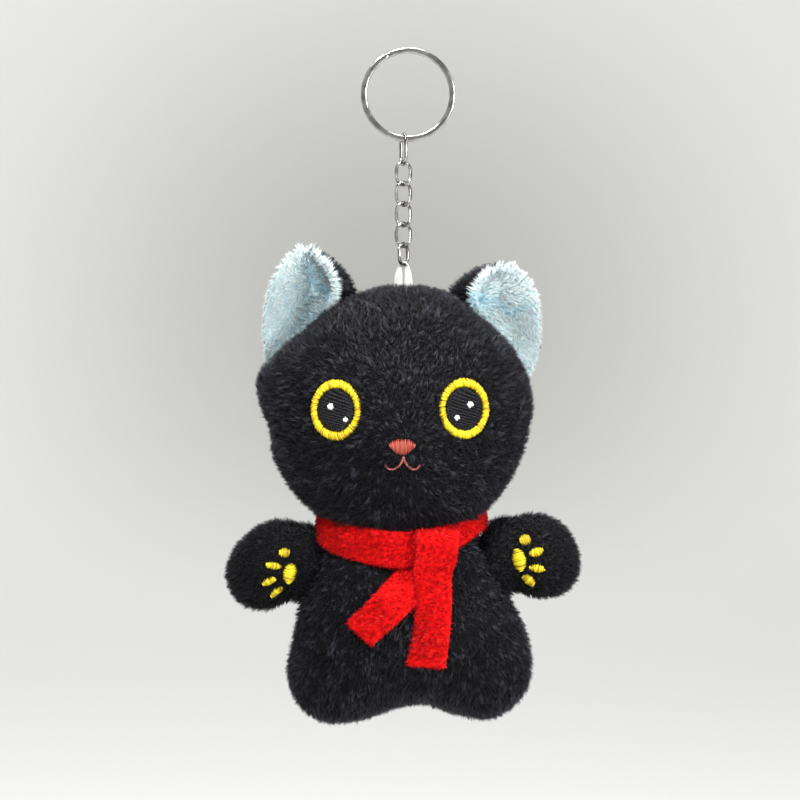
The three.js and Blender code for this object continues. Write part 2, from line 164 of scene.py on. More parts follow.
def modified(obj, kind, **settings):
    """Adds one modifier to the object and applies it."""
    modifier = obj.modifiers.new(kind.lower(), kind)
    for key, value in settings.items():
        setattr(modifier, key, value)
    return apply_modifiers(obj)


def subdivide(obj, levels=1):
    return modified(obj, "SUBSURF", levels=levels, render_levels=levels)


def smooth(obj, rounds):
    return modified(obj, "SMOOTH", iterations=rounds, factor=0.5)


def thicken(obj, thickness, offset=0):
    """Makes a sheet solid, about its middle or to one side."""
    return modified(obj, "SOLIDIFY", thickness=thickness * MM, offset=offset)


def from_bmesh(name, mesh):
    data = bpy.data.meshes.new(name)
    mesh.to_mesh(data)
    mesh.free()
    return link_object(name, data)


WELD_GAP = 0.002


def welded(name, nodes, extra=()):
    """A copy of CAD nodes and of other objects as one mesh with shared vertices."""
    mesh = bmesh.new()
    for source in [frame["nodes"][n].data for n in nodes] + [o.data for o in extra]:
        mesh.from_mesh(source)
    bmesh.ops.remove_doubles(mesh, verts=mesh.verts, dist=WELD_GAP * MM)
    for o in extra:
        bpy.data.objects.remove(o)
    return from_bmesh(name, mesh)


def ellipsoid(centre, radii):
    mesh = bmesh.new()
    bmesh.ops.create_icosphere(mesh, subdivisions=3, radius=1)
    for v in mesh.verts:
        v.co = Vector([(centre[k] + radii[k] * v.co[k]) * MM for k in range(3)])
    return from_bmesh("ellipsoid", mesh)


NOISE_OCTAVES = 3
NOISE_WAVES = 4


def wave_noise(points, scale, seed):
    """Smooth noise between about -1 and 1, from sums of sine waves in seeded directions."""
    rng = np.random.default_rng(seed)
    total = np.zeros(len(points))
    for octave in range(NOISE_OCTAVES):
        for _ in range(NOISE_WAVES):
            direction = rng.normal(size=3)
            direction /= np.linalg.norm(direction)
            phase = rng.uniform(0, 2 * math.pi)
            total += np.sin(points @ direction * (2 ** octave) * 2 * math.pi / scale + phase) / 2 ** octave
    return total / (2.2 * math.sqrt(NOISE_OCTAVES))


# ---- materials

def linear(r, g, b):
    """A linear colour from 0-255 display values."""
    parts = [c / 255 for c in (r, g, b)]
    return tuple(c / 12.92 if c <= 0.04045 else ((c + 0.055) / 1.055) ** 2.4 for c in parts)


def material(name, colour, roughness, metallic=0.0, sheen=0.0, sheen_tint=(1, 1, 1), specular=0.5):
    """A Principled material with its plain values set on the shader."""
    mat = bpy.data.materials.new(name)
    mat.use_nodes = True
    values = {"Base Color": (*colour, 1), "Roughness": roughness, "Metallic": metallic, "Sheen Weight": sheen,
              "Sheen Tint": (*sheen_tint, 1), "Sheen Roughness": 0.4, "Specular IOR Level": specular}
    for key, value in values.items():
        mat.node_tree.nodes["Principled BSDF"].inputs[key].default_value = value
    return mat


def node(mat, kind, **values):
    made = mat.node_tree.nodes.new(kind)
    for key, value in values.items():
        if key in made.inputs:
            made.inputs[key].default_value = value
        else:
            setattr(made, key, value)
    return made


BUMP_DEPTH = 0.3


def vary(mat, dark, light, scale, bump, stretch=(1, 1, 1), rough=None):
    """Noise in the object's own space drives the colour and the bump, and can drive the roughness too."""
    links = mat.node_tree.links
    shader = mat.node_tree.nodes["Principled BSDF"]
    place = node(mat, "ShaderNodeTexCoord")
    mapping = node(mat, "ShaderNodeMapping", Scale=stretch)
    links.new(place.outputs["Object"], mapping.inputs["Vector"])
    noise = node(mat, "ShaderNodeTexNoise", Scale=scale, Detail=4)
    links.new(mapping.outputs["Vector"], noise.inputs["Vector"])
    ramp = node(mat, "ShaderNodeValToRGB")
    for stop, position, tone in zip(ramp.color_ramp.elements, (0.35, 0.65), (dark, light)):
        stop.position, stop.color = position, (*tone, 1)
    links.new(noise.outputs["Fac"], ramp.inputs["Fac"])
    links.new(ramp.outputs["Color"], shader.inputs["Base Color"])
    if rough:
        spread = node(mat, "ShaderNodeMapRange", **{"To Min": rough[0], "To Max": rough[1]})
        links.new(noise.outputs["Fac"], spread.inputs["Value"])
        links.new(spread.outputs["Result"], shader.inputs["Roughness"])
    relief = node(mat, "ShaderNodeBump", Strength=bump, Distance=BUMP_DEPTH * MM)
    links.new(noise.outputs["Fac"], relief.inputs["Height"])
    links.new(relief.outputs["Normal"], shader.inputs["Normal"])
    return mat


def cloth(name, plain, dark, light, scale, bump, stretch=(1, 1, 1), **looks):
    """A cloth that varies between two tones; plain is its colour where noise isn't shown."""
    return vary(material(name, linear(*plain), **looks), linear(*dark), linear(*light), scale, bump, stretch)


def backing(name, dark, light):
    """The backing cloth that shows between the strands of a pile."""
    return cloth(name, dark, dark, light, 900, 0.6, roughness=0.9, sheen=0.1, specular=0.2)


def shades(name, colours, roughness, sheen, sheen_tint, specular=0.5):
    """One material for each shade of a pile's strands or of a thread."""
    looks = {"sheen": sheen, "sheen_tint": sheen_tint, "specular": specular}
    return [material(f"{name}_{i + 1}", linear(*c), roughness, **looks) for i, c in enumerate(colours)]


def nickel(name, dull, bright):
    mat = material(name, bright, roughness=0.16, metallic=1)
    return vary(mat, dull, bright, 260, 0.08, (1, 1, 1.6), rough=(0.1, 0.3))


BLACK_SHADES = [(8, 8, 12), (14, 13, 18), (23, 23, 29), (40, 40, 48), (71, 71, 81)]
BLUE_SHADES = [(180, 226, 242), (202, 239, 251), (218, 248, 255), (232, 253, 255), (246, 255, 255)]
RED_SHADES = [(176, 2, 6), (206, 4, 8), (226, 8, 12), (238, 24, 24), (246, 60, 54)]

RING_NICKEL = nickel("ring_nickel", (0.42, 0.415, 0.405), (0.66, 0.65, 0.64))
# The chain's nickel is darker than the ring's: painted shade, standing in for the dark reflections that the
# pale room does not give
CHAIN_NICKEL_PAINTED_SHADE = nickel("chain_nickel", (0.2, 0.19, 0.18), (0.56, 0.545, 0.52))
BLACK_BASE = backing("black_backing", (6, 6, 8), (14, 13, 17))
BLUE_BASE = backing("blue_backing", (186, 226, 240), (206, 238, 250))
RED_BASE = backing("red_backing", (216, 4, 8), (240, 8, 12))
FIBRE = cloth("fibrefill", (238, 237, 230), (222, 221, 214), (246, 245, 240), 320, 0.8, roughness=1)
BLACK_PILE = shades("black_pile", BLACK_SHADES, 0.32, 0.04, (0.75, 0.75, 0.9), specular=0.28)
BLUE_PILE = shades("blue_pile", BLUE_SHADES, 0.6, 1.0, (0.84, 0.97, 1), specular=0.4)
RED_PILE = shades("red_pile", RED_SHADES, 0.6, 0.05, (1, 0.25, 0.2), specular=0.15)
YELLOW_THREAD = shades("yellow_thread", [(204, 168, 2), (226, 198, 6), (244, 224, 18)], 0.38, 0.08,
                       (1, 1, 0.6))
PAW_THREAD = shades("paw_thread", [(196, 172, 8), (220, 196, 10), (238, 216, 18)], 0.4, 0.08, (1, 1, 0.6))
BLACK_THREAD = shades("black_thread", [(8, 8, 12), (12, 12, 18), (20, 20, 28)], 0.36, 0.02, (0.7, 0.75, 1),
                      specular=0.3)
WHITE_THREAD = shades("white_thread", [(236, 236, 236), (250, 250, 250)], 0.35, 0.1, (1, 1, 1))
CORAL_THREAD = shades("coral_thread", [(150, 54, 40), (168, 68, 53), (192, 88, 72)], 0.38, 0.15,
                      (1, 0.85, 0.8))
PINK_THREAD = shades("pink_thread", [(142, 66, 57), (160, 84, 73)], 0.42, 0.15, (1, 0.9, 0.85))
SATIN = cloth("white_satin", (222, 222, 217), (192, 192, 187), (232, 232, 228), 2600, 0.5, (1, 1, 0.15),
              roughness=0.35, sheen=0.1)


def dress(obj, materials):
    """Puts one or several materials on an object, and returns it."""
    obj.data.materials.clear()
    for mat in materials if isinstance(materials, list) else [materials]:
        obj.data.materials.append(mat)
    return obj


# ---- metalwork

RING_SWELL = 0.1
LINK_SWELL = 0.14


def refined(node_name, name, swell, metal):
    """A CAD wire as a smooth round one: subdivided, then swollen back to its size."""
    obj = subdivide(welded(name, [node_name]), 2)
    push_out(obj, swell)
    stand_for(dress(obj, metal), node_name, [node_name])


def metalwork():
    refined("split_ring", "ring_wire", RING_SWELL, RING_NICKEL)
    for index in range(1, 7):
        refined(f"chain_link_{index}", f"chain_link_{index}_wire", LINK_SWELL, CHAIN_NICKEL_PAINTED_SHADE)


# The ribbon's left half as (out from the middle, height, width, turn in degrees); 90 faces the front
LOOP_HALF = [(1.75, -81, 2.8, 90), (1.72, -78, 2.8, 90), (1.68, -75, 2.75, 90), (1.55, -72, 2.55, 90),
             (1.4, -70.2, 2.1, 86), (1.3, -69.1, 1.5, 66), (1.12, -68.2, 1.4, 36), (0.72, -67.5, 1.7, 12),
             (0, -67.2, 1.8, 0)]
LOOP_X = -1.5
LOOP_STEPS = 90
LOOP_COLUMNS = 7
LOOP_THICKNESS = 0.5


def row_across(centre, across, width, columns):
    """Evenly spread points across a strip, about its centre."""
    return [np.array(centre) + across * width * (k / (columns - 1) - 0.5) for k in range(columns)]


def ribbon_loop():
    """A satin ribbon that goes over the last link and turns flat to the front down both legs."""
    half = np.array(LOOP_HALF, float)
    other = half[:-1][::-1] * (-1, 1, 1, -1)
    grid = []
    for out, z, width, turn in smooth_line(np.vstack([half, other]), LOOP_STEPS):
        angle = math.radians(turn)
        across = np.array((math.sin(angle), math.cos(angle), 0))
        grid.append(row_across((LOOP_X - out, 0, z), across, width, LOOP_COLUMNS))
    loop = thicken(grid_piece("ribbon_loop", grid), LOOP_THICKNESS)
    stand_for(dress(subdivide(loop), SATIN), "head", ["hang_loop"])


# ---- covers

SWELL_PRESSURE = 4
SWELL_FRAMES = 20
SWELL_SCALE = 10
SWELL_SHRINK = -0.02


def inflate(obj, pinned, cap):
    """Swells a cover with Cloth, its seam held, and moves no point further than the cap."""
    start = coordinates(obj)
    set_coordinates(obj, start * SWELL_SCALE)
    group = obj.vertex_groups.new(name="seam")
    group.add([int(i) for i in np.flatnonzero(pinned)], 1.0, "REPLACE")
    cloth = obj.modifiers.new("inflate", "CLOTH")
    settings = cloth.settings
    settings.use_pressure = True
    settings.uniform_pressure_force = SWELL_PRESSURE
    settings.vertex_group_mass = "seam"
    settings.shrink_min = SWELL_SHRINK
    settings.effector_weights.gravity = 0
    cloth.point_cache.frame_end = SWELL_FRAMES
    for step in range(1, SWELL_FRAMES + 1):
        SCENE.frame_set(step)
    swollen = obj.evaluated_get(bpy.context.evaluated_depsgraph_get())
    move = vertex_vectors(swollen, "co") / MM / SWELL_SCALE - start
    length = np.linalg.norm(move, axis=1, keepdims=True)
    obj.modifiers.remove(cloth)
    obj.vertex_groups.remove(group)
    set_coordinates(obj, start + move * np.minimum(1, cap / np.maximum(length, 1e-9)))
    SCENE.frame_set(1)


def cover(name, part, bulges=(), stand=FABRIC_STAND, cap=1.6, shaped=None):
    """A sewn cover round a part's stuffing: remeshed, swollen by simulation, with its seam."""
    extra = [ellipsoid(*bulge) for bulge in bulges]
    obj = modified(welded(name, [f"{part}_stuffing"], extra), "REMESH", mode="VOXEL", voxel_size=VOXEL * MM)
    smooth(obj, 3)
    push_out(obj, stand)
    smooth(obj, 1)
    if shaped:
        set_coordinates(obj, shaped(coordinates(obj)))
    inflate(obj, np.abs(coordinates(obj)[:, 1]) < SEAM_HALF, cap)
    points = coordinates(subdivide(obj))
    seam = np.exp(-(points[:, 1] / SEAM_HALF) ** 2)
    push_out(obj, FABRIC_RELIEF * wave_noise(points, 17, 3) - SEAM_GROOVE * seam)
    return dress(obj, BLACK_BASE)


# Where the search for a front face starts, in metres, and the way from it to the viewer
VIEWING_GAP = 0.2
TOWARDS_VIEWER = np.array((0, -1.0, 0))


class Surface:
    """A mesh to lay things on: finds the place in front of the object at an x and z."""

    def __init__(self, obj):
        self.tree = BVHTree.FromPolygons([v.co for v in obj.data.vertices], triangles_of(obj).tolist())

    def over(self, points_xz, height):
        """Points that stand a height (one, or one each) above the front face."""
        placed = []
        for (x, z), stand in zip(points_xz, np.broadcast_to(height, len(points_xz))):
            start = Vector((x * MM, -VIEWING_GAP, z * MM))
            hit, normal, _, _ = self.tree.ray_cast(start, Vector((0, 1, 0)))
            y, way = (0.0, TOWARDS_VIEWER) if hit is None else (hit.y / MM, np.array(normal))
            placed.append(np.array((x, y, z)) + way * stand)
        return np.array(placed)


# ---- pile

def scatter(obj, per_mm2, rng):
    """Random points on an object's faces, evenly by area, with smooth normals."""
    corners, points, normals = triangles_of(obj), coordinates(obj), normals_of(obj)
    a, b, c = (points[corners[:, k]] for k in range(3))
    area = np.linalg.norm(np.cross(b - a, c - a), axis=1) / 2
    count = int(area.sum() * per_mm2)
    chosen = rng.choice(len(corners), size=count, p=area / area.sum())
    u, v = rng.random(count), rng.random(count)
    fold = u + v > 1
    u[fold], v[fold] = 1 - u[fold], 1 - v[fold]
    weights = np.stack([1 - u - v, u, v], axis=1)[:, :, None]
    where = (points[corners[chosen]] * weights).sum(axis=1)
    facing = (normals[corners[chosen]] * weights).sum(axis=1)
    return where, unit(facing)


def tree_of(points):
    tree = KDTree(len(points))
    for index, point in enumerate(points):
        tree.insert(point, index)
    tree.balance()
    return tree


def tufts(roots, size, rng):
    """For each strand, the index of the strand that leads its tuft."""
    leaders = rng.choice(len(roots), size=max(4, int(len(roots) / size)), replace=False)
    tree = tree_of(roots[leaders])
    return np.array([leaders[tree.find(root)[1]] for root in roots])


# How deep strands are rooted, how far they rise at least, and how much their length and tone vary
ROOT_DEPTH = 0.3
LEAST_RISE = 0.25
LENGTH_RANGE = (0.72, 1.15)
TONE_SPREAD = 0.1


def pile(name, surface, materials, nap, shade, keep, seed, per_mm2=6, length=2.5, radius=0.1, lean=0.8,
         tuft=7, gather=0.45, spread=0.2, tuft_spread=0.3):
    """Strands of pile as thin closed spikes, one mesh, on the faces of a surface.

    nap gives the way the pile lies at points with normals, and lean how much of that it takes.
    shade gives a number from 0 to 1 for each tuft, which picks its strands' materials.
    keep picks the points that grow a strand, and may move them and turn their normals.
    """
    rng = np.random.default_rng(seed)
    roots, normals = scatter(surface, per_mm2, rng)
    if keep is not None:
        roots, normals = keep(roots, normals)
    count = len(roots)
    leader = tufts(roots, tuft, rng)
    along = nap(roots, normals)
    along = unit(along - normals * (along * normals).sum(axis=1, keepdims=True))
    together = rng.normal(size=(count, 3))[leader] * tuft_spread
    direction = unit(normals + along * lean + together + rng.normal(size=(count, 3)) * spread)
    outwards = (direction * normals).sum(axis=1, keepdims=True)
    direction = unit(direction + normals * np.maximum(0, LEAST_RISE - outwards))
    reach = length * rng.uniform(*LENGTH_RANGE, size=(count, 1))
    tips = roots + direction * reach
    tips += (tips[leader] - tips) * gather
    direction = unit(tips - roots)
    side = unit(np.cross(direction, rng.normal(size=(count, 3))))
    other = np.cross(direction, side)
    bases = roots - direction * ROOT_DEPTH
    corners = []
    for turn in range(3):
        angle = turn * 2 * math.pi / 3
        corners.append(bases + (side * math.cos(angle) + other * math.sin(angle)) * radius)
    vertices = np.stack([*corners, tips], axis=1).reshape(-1, 3)
    faces = np.array([[0, 1, 3], [1, 2, 3], [2, 0, 3], [2, 1, 0]])
    loops = (np.arange(count)[:, None, None] * 4 + faces[None]).reshape(-1)
    tone = shade(roots, rng)[leader] + rng.normal(size=count) * TONE_SPREAD
    slots = (np.clip(tone, 0, 0.999) * len(materials)).astype(np.int32)
    return strand_mesh(name, vertices, loops, slots.repeat(4), materials)


def strand_mesh(name, vertices, loops, slots, materials):
    """A mesh of triangles made in one go, with a material slot for each."""
    mesh = bpy.data.meshes.new(name)
    count = len(loops) // 3
    mesh.vertices.add(len(vertices))
    mesh.vertices.foreach_set("co", (vertices * MM).astype(np.float32).ravel())
    mesh.loops.add(len(loops))
    mesh.loops.foreach_set("vertex_index", loops.astype(np.int32))
    mesh.polygons.add(count)
    obj = dress(link_object(name, mesh), materials)
    starts = np.arange(0, count * 3, 3, dtype=np.int32)
    faces = {"loop_start": starts, "loop_total": np.full(count, 3, dtype=np.int32), "material_index": slots,
             "use_smooth": np.ones(count, dtype=bool)}
    for key, values in faces.items():
        mesh.polygons.foreach_set(key, values)
    mesh.update(calc_edges=True)
    mesh.validate()
    return obj


# ---- threads

THREAD_SIDES = 6
THREAD_END = 0.55


def threads(name, paths, materials, radius, seed=1):
    """Closed threads, one along each path of the same number of points, as one mesh."""
    rng = np.random.default_rng(seed)
    paths = np.asarray(paths, float)
    count, steps = paths.shape[:2]
    tangent = unit(np.gradient(paths, axis=1))
    side = unit(np.cross(tangent, TOWARDS_VIEWER))
    rise = np.cross(side, tangent)
    girth = radius * np.array([THREAD_END] + [1.0] * (steps - 2) + [THREAD_END])
    sides = THREAD_SIDES
    angles = np.arange(sides) * 2 * math.pi / sides
    ring = (np.cos(angles)[None, None, :, None] * side[:, :, None, :]
            + np.sin(angles)[None, None, :, None] * rise[:, :, None, :])
    vertices = (paths[:, :, None, :] + ring * girth[None, :, None, None]).reshape(-1, 3)
    tube = grid_faces(steps, sides, closed=True)
    tube += [range(sides - 1, -1, -1), range((steps - 1) * sides, steps * sides)]
    faces, slots = [], []
    for thread, tone in enumerate(rng.integers(0, len(materials), size=count)):
        faces += [[thread * steps * sides + corner for corner in face] for face in tube]
        slots += [int(tone)] * len(tube)
    obj = dress(new_piece(name, vertices, faces), materials)
    obj.data.polygons.foreach_set("material_index", slots)
    return obj


def embroider(node_name, body, paths, materials, radius, seed=1):
    """Threads on a body, in place of a CAD node."""
    stand_for(threads(f"{node_name}_stitches", paths, materials, radius, seed), body, [node_name])


ARCH_POWER = 0.55


def stitch(surface, start, end, peak, steps=7, sink=0.2, base=0.0):
    """One stitch: it comes up through the cloth, arches over it and goes down again."""
    share = np.linspace(0, 1, steps)
    flat = np.outer(1 - share, start) + np.outer(share, end)
    height = base - sink + (peak + sink) * np.sin(math.pi * np.clip(share, 0.02, 0.98)) ** ARCH_POWER
    return surface.over(flat, height)


def satin(surface, starts, ends, rng, peak, wander=0.08, base=0.0):
    """Side-by-side stitches between two edges, each a little uneven at its ends."""
    paths = []
    for start, end in zip(starts, ends):
        start = np.array(start) + rng.normal(size=2) * wander
        end = np.array(end) + rng.normal(size=2) * wander
        paths.append(stitch(surface, start, end, peak * rng.uniform(0.9, 1.1), base=base))
    return paths


def turned(points, centre, tilt):
    """Flat (across, up) points turned by an angle in degrees and moved to (x, z)."""
    angle = math.radians(tilt)
    rotate = np.array([[math.cos(angle), math.sin(angle)], [-math.sin(angle), math.cos(angle)]])
    return np.asarray(points) @ rotate + np.array(centre)


THREAD_PITCH = 0.36


def oval_satin(surface, centre, size, tilt, rng, peak, base=0.0, across=True):
    """A filled oval of satin stitches across its length (or along it)."""
    long, short = (size[0] / 2, size[1] / 2) if across else (size[1] / 2, size[0] / 2)
    rows = np.arange(-long + THREAD_PITCH / 2, long, THREAD_PITCH)
    half = short * np.sqrt(np.maximum(0, 1 - (rows / long) ** 2)) + 0.12
    edges = (np.stack([rows, edge] if across else [edge, rows], axis=1) for edge in (-half, half))
    return satin(surface, *(turned(edge, centre, tilt) for edge in edges), rng, peak, base=base)


# ---- face

def middle_of(node_name):
    """The (x, z) middle and (width, height) of a CAD node, in millimetres."""
    low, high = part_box(node_name)
    middle = (low.x + high.x) / 2 / MM, (low.z + high.z) / 2 / MM
    return middle, ((high.x - low.x) / MM, (high.z - low.z) / MM)


RING_SKEW = 0.06


def eye_ring(surface, side, seed):
    """Radial satin stitches round the eye."""
    rng = np.random.default_rng(seed)
    centre, size = middle_of(f"eye_{side}_ring")
    _, pupil = middle_of(f"eye_{side}_pupil")
    outer = np.array(size) / 2 - 0.1
    inner = np.array(pupil) / 2 + 0.5
    count = int(math.pi * (outer[0] + outer[1]) / THREAD_PITCH)
    angles = np.arange(count) * 2 * math.pi / count
    spokes, skewed = (np.stack([np.cos(a), np.sin(a)], axis=1) for a in (angles, angles + RING_SKEW))
    paths = satin(surface, centre + spokes * inner, centre + skewed * outer, rng, peak=0.95, wander=0.1)
    embroider(f"eye_{side}_ring", "head", paths, YELLOW_THREAD, radius=0.21, seed=seed)


FILL_STITCH = 3.4


def eye_pupil(surface, side, seed):
    """Rows of short fill stitches across the pupil."""
    rng = np.random.default_rng(seed)
    centre, size = middle_of(f"eye_{side}_pupil")
    half = np.array(size) / 2 + 0.3
    paths = []
    for index, z in enumerate(np.arange(-half[1] + THREAD_PITCH / 2, half[1], THREAD_PITCH)):
        edge = half[0] * math.sqrt(max(0, 1 - (z / half[1]) ** 2))
        cuts = np.arange(-edge - FILL_STITCH * ((index * 0.37) % 1), edge, FILL_STITCH)
        cuts = np.concatenate([[-edge], cuts[(cuts > -edge + 0.5) & (cuts < edge - 0.5)], [edge]])
        for start, end in zip(cuts[:-1], cuts[1:]):
            a, b = ((centre[0] + x, centre[1] + z + rng.normal() * 0.03) for x in (start, end))
            paths.append(stitch(surface, a, b, peak=0.34, steps=6, sink=0.1))
    embroider(f"eye_{side}_pupil", "head", paths, BLACK_THREAD, radius=0.2, seed=seed)


def eye_highlight(surface, side, size, seed):
    """A small oval that lies on the pupil's stitches."""
    rng = np.random.default_rng(seed + len(size))
    node_name = f"eye_{side}_highlight_{size}"
    centre, spot = middle_of(node_name)
    spot = tuple(length * 0.85 for length in spot)
    paths = oval_satin(surface, centre, spot, tilt=20, rng=rng, peak=0.6, base=0.2)
    embroider(node_name, "head", paths, WHITE_THREAD, radius=0.2, seed=seed)


def nose(surface):
    """Upright stitches between the nose's flat top and its pointed lower edge."""
    rng = np.random.default_rng(31)
    (x, z), (width, height) = middle_of("nose")
    across = np.arange(-width / 2 + 0.2, width / 2 - 0.1, 0.4)
    share = across / (width / 2)
    top = z + height / 2 * (0.95 - 0.62 * np.abs(share) ** 3.2)
    low = z + height / 2 * (-0.95 + 0.95 * np.abs(share) ** 2)
    starts = np.stack([x + across, top], axis=1)
    ends = np.stack([x + across * 0.86, low], axis=1)
    paths = satin(surface, starts, ends, rng, peak=1.1, wander=0.12)
    embroider("nose", "head", paths, CORAL_THREAD, radius=0.24)


# Each side of the mouth from its stem, as shares of its reach and its height
MOUTH_CURVE = ((0.14, 0.45), (0.48, 0.84), (0.8, 0.84))


def mouth(surface):
    """Stem stitch: short slanting stitches that overlap along the two curves of the mouth."""
    rng = np.random.default_rng(32)
    (_, z), (_, height) = middle_of("mouth")
    low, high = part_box("mouth")
    stem = ((low.x + high.x) / 2 / MM + 0.3, z + height / 2 - 0.2)
    paths = []
    for corner in (low.x / MM + 0.4, high.x / MM - 0.4):
        reach = corner - stem[0]
        keys = [(stem[0] + reach * out, stem[1] - height * drop) for out, drop in MOUTH_CURVE]
        line = smooth_line([stem, *keys, (corner, stem[1] - height * 0.55)], 11)
        for step in range(len(line) - 1):
            slant = rng.normal(size=2) * 0.05
            start = line[step] * 1.15 - line[step + 1] * 0.15 + slant
            end = line[step + 1] * 1.15 - line[step] * 0.15 - slant
            paths.append(stitch(surface, start, end, peak=0.8, steps=6))
    embroider("mouth", "head", paths, PINK_THREAD, radius=0.36)


def smooth_line(keys, count):
    """Evenly spread points on a smooth curve through a few points of any dimension."""
    keys = np.asarray(keys, float)
    padded = np.vstack([2 * keys[0] - keys[1], keys, 2 * keys[-1] - keys[-2]])
    fine = []
    for i in range(len(keys) - 1):
        p0, p1, p2, p3 = padded[i:i + 4]
        for t in np.linspace(0, 1, 24, endpoint=False):
            fine.append(0.5 * (2 * p1 + (p2 - p0) * t + (2 * p0 - 5 * p1 + 4 * p2 - p3) * t ** 2
                               + (3 * p1 - p0 - 3 * p2 + p3) * t ** 3))
    fine = np.array(fine + [keys[-1]])
    travelled = np.concatenate([[0], np.cumsum(np.linalg.norm(np.diff(fine, axis=0), axis=1))])
    wanted = np.linspace(0, travelled[-1], count)
    return np.stack([np.interp(wanted, travelled, fine[:, k]) for k in range(keys.shape[1])], axis=1)


def embroider_face(surface):
    for side, seed in (("left", 11), ("right", 12)):
        eye_ring(surface, side, seed)
        eye_pupil(surface, side, seed)
        eye_highlight(surface, side, "large", seed)
        eye_highlight(surface, side, "small", seed)
    nose(surface)
    mouth(surface)


def stand_for(obj, body, nodes):
    """Puts a piece on a body, or on none, in place of CAD nodes, which it hides."""
    if body:
        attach(obj, body)
    if nodes:
        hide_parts(*nodes)
    return obj


# Toes as (length, width, tilt in degrees), and pads as (width, height, tilt)
TOES = {
    "left": [(3.8, 3.5, 0), (5.1, 2.6, -8), (4.8, 2.6, 25), (4.7, 2.3, 40)],
    "right": [(3.8, 3.7, 20), (4.7, 3.1, 20), (4.9, 2.9, -8), (4.8, 3.2, -40)],
}
PADS = {"left": (4.5, 6.9, -12), "right": (4.6, 7.6, 14)}


def embroider_paw(surface, side):
    rng = np.random.default_rng(41 if side == "left" else 42)

    def oval(name, size, tilt, peak, across, seed):
        paths = oval_satin(surface, middle_of(name)[0], size, tilt, rng, peak, across=across)
        embroider(name, f"arm_{side}", paths, PAW_THREAD, radius=0.22, seed=seed)

    for index, (length, width, tilt) in enumerate(TOES[side]):
        oval(f"paw_{side}_toe_{index + 1}", (length - 0.4, width - 0.6), tilt, 0.9, True, index)
    width, height, tilt = PADS[side]
    oval(f"paw_{side}_pad", (width - 0.5, height - 0.6), tilt, 1.0, False, 9)


# ---- masks and naps

FACE_DEPTH = 8


def clear_of(nodes, grow):
    """Keeps strands that don't start inside any of the embroidered ovals, grown by a little."""
    def keep(points, normals):
        kept = np.ones(len(points), bool)
        for name in nodes:
            (x, z), (width, height) = middle_of(name)
            near = np.abs(points[:, 1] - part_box(name)[0].y / MM) < FACE_DEPTH
            rx, rz = width / 2 + grow, height / 2 + grow
            kept &= ~(near & (((points[:, 0] - x) / rx) ** 2 + ((points[:, 2] - z) / rz) ** 2 < 1))
        return points[kept], normals[kept]
    return keep


def swirl(base, amount, scale, seed):
    """A nap that mostly lies one way, and drifts to the sides in soft patches."""
    def nap(points, normals):
        way = np.broadcast_to(np.array(base, float), points.shape).copy()
        way[:, 0] += amount * wave_noise(points, scale, seed)
        way[:, 2] += amount * wave_noise(points, scale * 1.3, seed + 1)
        way[:, 1] += amount * 0.5 * wave_noise(points, scale, seed + 2)
        return way
    return nap


def head_nap(points, normals):
    """Up over the forehead, and outwards from the nose across the cheeks."""
    (nose_x, nose_z), _ = middle_of("nose")
    away = np.stack([points[:, 0] - nose_x, np.zeros(len(points)), (points[:, 2] - nose_z) * 0.8], axis=1)
    return unit(away) + 0.7 * swirl((0, 0, 0), 0.9, 19, 5)(points, normals)


MIDDLE_TONE = 0.42


def streaky(seed, scale, lift=0.0):
    """Shades that follow soft streaks, with some strands at random; lift moves them all, and on the body,
    arms and neck band it carries painted light or shade.
    """
    def shade(points, rng):
        streak = wave_noise(points * np.array([0.6, 1, 1.4]), scale, seed)
        return MIDDLE_TONE + lift + 0.16 * streak + rng.normal(size=len(points)) * 0.26
    return shade


# ---- sewn parts

def stuffing(part, body):
    """Lumpy fibrefill inside a cover, on its body if it has one."""
    obj = dress(subdivide(welded(f"{part}_fibrefill", [f"{part}_stuffing"])), FIBRE)
    push_out(obj, -0.4 + 0.35 * wave_noise(coordinates(obj), 6, 21))
    return stand_for(obj, body, [f"{part}_stuffing"])


def half_of(obj, front):
    """A copy of a cover's front or back half, to grow one part of its pile on."""
    mesh = bmesh.new()
    mesh.from_mesh(obj.data)
    lost = [f for f in mesh.faces if (f.calc_center_median().y < 0) != front]
    bmesh.ops.delete(mesh, geom=lost, context="FACES")
    return from_bmesh("half", mesh)


def black_pile(name, surface, nap, keep, seed, lift=0.0):
    return pile(name, surface, BLACK_PILE, nap, streaky(seed, 7, lift), keep, seed, per_mm2=5.6, lean=0.9)


def half_piles(obj, part, naps, keep, seed, lift=0.0):
    """Pile on a cover's front and on its back, as two pieces."""
    piles = []
    for turn, half in enumerate(("front", "back")):
        ground = half_of(obj, half == "front")
        piles.append(black_pile(f"{part}_pile_{half}", ground, naps[turn], keep, seed + turn, lift))
        bpy.data.objects.remove(ground)
    return piles


def bend(pieces, fixed, moving, start, end, slot):
    """Bakes each piece's transform into its mesh; the two bodies, the two places (in millimetres) and the
    slot are not used.
    """
    for piece in pieces:
        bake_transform(piece)


def ease(values, start, end):
    """0 at start, 1 at end, with a smooth rise between them."""
    share = np.clip((values - start) / (end - start), 0, 1)
    return share * share * (3 - 2 * share)


# How far the chin sags forwards and down, and how much the head narrows there towards its middle
CHIN_FORWARD = 5
CHIN_DOWN = 2.6
CHIN_NARROWS = 0.06
HEAD_X = -4.2
# How far the left cheek is drawn in, and at what height
CHEEK_IN = 1.7
CHEEK_Z = -121
CHEEK_SPREAD = 7
# The head's upper corner under the left ear, as a centre and radii
TEMPLE = ((-40.6, 0, -106.5), (5.4, 6, 5.4))
# Where the chin starts to follow the neck, and where the head is all its own
CHIN_BLEND = ((-2.6, 0, -158), (-2.6, 0, -144))


